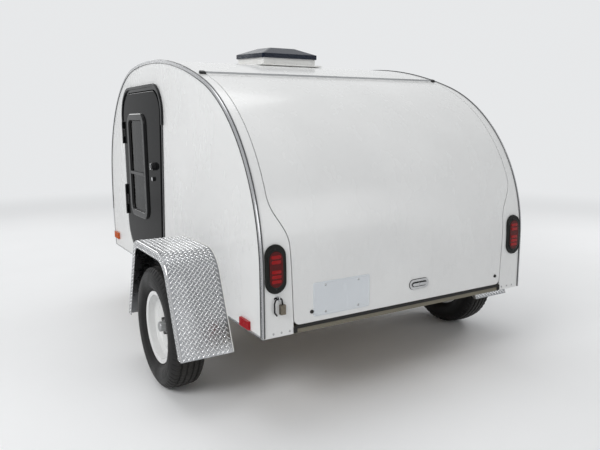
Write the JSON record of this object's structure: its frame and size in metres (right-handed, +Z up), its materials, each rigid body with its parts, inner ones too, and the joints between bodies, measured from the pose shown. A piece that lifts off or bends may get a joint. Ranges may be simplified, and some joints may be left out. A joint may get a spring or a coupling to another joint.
{
  "type": "teardrop camping trailer",
  "caption": "Teardrop camping trailer: rounded hollow body with side doors, lifting rear hatch, roof vent, sheet fenders, sprung axle, tongue with ball coupler and parking jack.",
  "frame": {"origin": "on the ground under the centre of the outline box", "axes": "+X forward along the tongue, +Y to the trailer's left, +Z up"},
  "size_m": [3.3424, 2.0912, 1.7611],
  "materials": {
    "amber_lens": "clear amber",
    "birch_ply": "varnished birch plywood",
    "black_fittings": "satin black",
    "black_frame": "gloss black",
    "blank_plate": "gloss white",
    "brass_lock": "worn",
    "bright_trim": "bright mill finish",
    "chassis_black": "black enamel",
    "chrome": "bright",
    "deck_ply": "sealed plywood",
    "grommet_rubber": "satin",
    "hub_metal": "zinc and black",
    "red_lens": "clear red",
    "seal_rubber": "matte",
    "sill": "pale beige",
    "smoked_panel": "gloss black",
    "strut_black": "satin black",
    "strut_steel": "bright",
    "tinted_glass": "dark tint",
    "tread_plate": "bright tread plate",
    "tyre": "matte tread rubber",
    "vent_smoke": "smoked",
    "vent_white": "satin white",
    "white_skin": "gloss white sheet",
    "white_wheel": "gloss white paint",
    "zinc": "zinc plated"
  },
  "bodies": {
    "trailer": {"axle_beam": "chassis_black", "coupler": "zinc", "crossmembers": "chassis_black", "door_jamb_left": "black_frame", "door_jamb_right": "black_frame", "drip_cap_left": "black_frame", "drip_cap_right": "black_frame", "edge_trim_left": "bright_trim", "edge_trim_right": "bright_trim", "fender_left": "tread_plate", "fender_right": "tread_plate", "floor_deck": "deck_ply", "frame_rails": "chassis_black", "front_markers": "amber_lens", "galley_bulkhead": "birch_ply", "galley_counter": "birch_ply", "hatch_seal": "seal_rubber", "hinge_rail": "bright_trim", "jack_tube": "zinc", "light_grommets": "grommet_rubber", "light_lenses": "red_lens", "lock_staple": "chrome", "padlock": "brass_lock", "rear_corner_left": "white_skin", "rear_corner_right": "white_skin", "rear_markers": "red_lens", "rear_sill": "sill", "roof_shell": "white_skin", "side_wall_left": "white_skin", "side_wall_right": "white_skin", "strut_wall_studs": "strut_steel", "suspension_arms": "chassis_black", "tongue": "chassis_black", "vent_base": "vent_white"},
    "wheel_left": {"tyre_left": "tyre", "wheel_rim_left": "white_wheel", "wheel_hub_left": "hub_metal"},
    "wheel_right": {"tyre_right": "tyre", "wheel_rim_right": "white_wheel", "wheel_hub_right": "hub_metal"},
    "door_left": {"door_left": "smoked_panel", "window_frame_left": "black_frame", "window_glass_left": "tinted_glass", "door_fittings_left": "black_fittings"},
    "door_right": {"door_right": "smoked_panel", "window_frame_right": "black_frame", "window_glass_right": "tinted_glass", "door_fittings_right": "black_fittings"},
    "hatch": {"hatch": "white_skin", "hinge_leaf": "bright_trim", "hatch_handle": "chrome", "licence_plate": "blank_plate", "strut_hatch_studs": "strut_steel"},
    "vent_lid": {"vent_lid": "vent_smoke"},
    "jack_leg": {"jack_leg": "zinc"},
    "strut_tube_left": {"strut_tube_left": "strut_black"},
    "strut_rod_left": {"strut_rod_left": "strut_steel"},
    "strut_tube_right": {"strut_tube_right": "strut_black"},
    "strut_rod_right": {"strut_rod_right": "strut_steel"}
  },
  "joints": [
    {"name": "wheel_left_spin", "type": "hinge", "parent": "trailer", "child": "wheel_left", "pos_m": [-0.9607, 0.957, 0.305], "axis": [0, 1, 0], "continuous": true},
    {"name": "wheel_right_spin", "type": "hinge", "parent": "trailer", "child": "wheel_right", "pos_m": [-0.9607, -0.957, 0.305], "axis": [0, 1, 0], "continuous": true},
    {"name": "door_left_swing", "type": "hinge", "parent": "trailer", "child": "door_left", "pos_m": [0.3008, 0.804, 1], "axis": [0, 0, -1], "range_deg": [0, 150]},
    {"name": "door_right_swing", "type": "hinge", "parent": "trailer", "child": "door_right", "pos_m": [0.3008, -0.804, 1], "axis": [0, 0, 1], "range_deg": [0, 150]},
    {"name": "hatch_lift", "type": "hinge", "parent": "trailer", "child": "hatch", "pos_m": [-0.97851, 0, 1.54617], "axis": [0, 1, 0], "range_deg": [0, 75]},
    {"name": "vent_lid_lift", "type": "hinge", "parent": "trailer", "child": "vent_lid", "pos_m": [-0.16307, 0, 1.70285], "axis": [0, 1, 0], "range_deg": [0, 70]},
    {"name": "jack_leg_slide", "type": "slide", "parent": "trailer", "child": "jack_leg", "axis": [0, 0, 1], "range_m": [0, 0.2]},
    {"name": "strut_left_turn", "type": "hinge", "parent": "trailer", "child": "strut_tube_left", "pos_m": [-1.2007, 0.7, 0.91], "axis": [0, -1, 0], "range_deg": [0, 6.12]},
    {"name": "strut_left_extend", "type": "slide", "parent": "strut_tube_left", "child": "strut_rod_left", "axis": [0.2219, 0, 0.9751], "range_m": [0, 0.17372]},
    {"name": "strut_right_turn", "type": "hinge", "parent": "trailer", "child": "strut_tube_right", "pos_m": [-1.2007, -0.7, 0.91], "axis": [0, -1, 0], "range_deg": [0, 6.12]},
    {"name": "strut_right_extend", "type": "slide", "parent": "strut_tube_right", "child": "strut_rod_right", "axis": [0.2219, 0, 0.9751], "range_m": [0, 0.17372]}
  ],
  "couplings": [
    {"joint": "strut_left_turn", "follows": "hatch_lift", "ratio": 0.073594},
    {"joint": "strut_left_extend", "follows": "hatch_lift", "m_per_rad": 0.13118},
    {"joint": "strut_right_turn", "follows": "hatch_lift", "ratio": 0.073594},
    {"joint": "strut_right_extend", "follows": "hatch_lift", "m_per_rad": 0.13118}
  ]
}
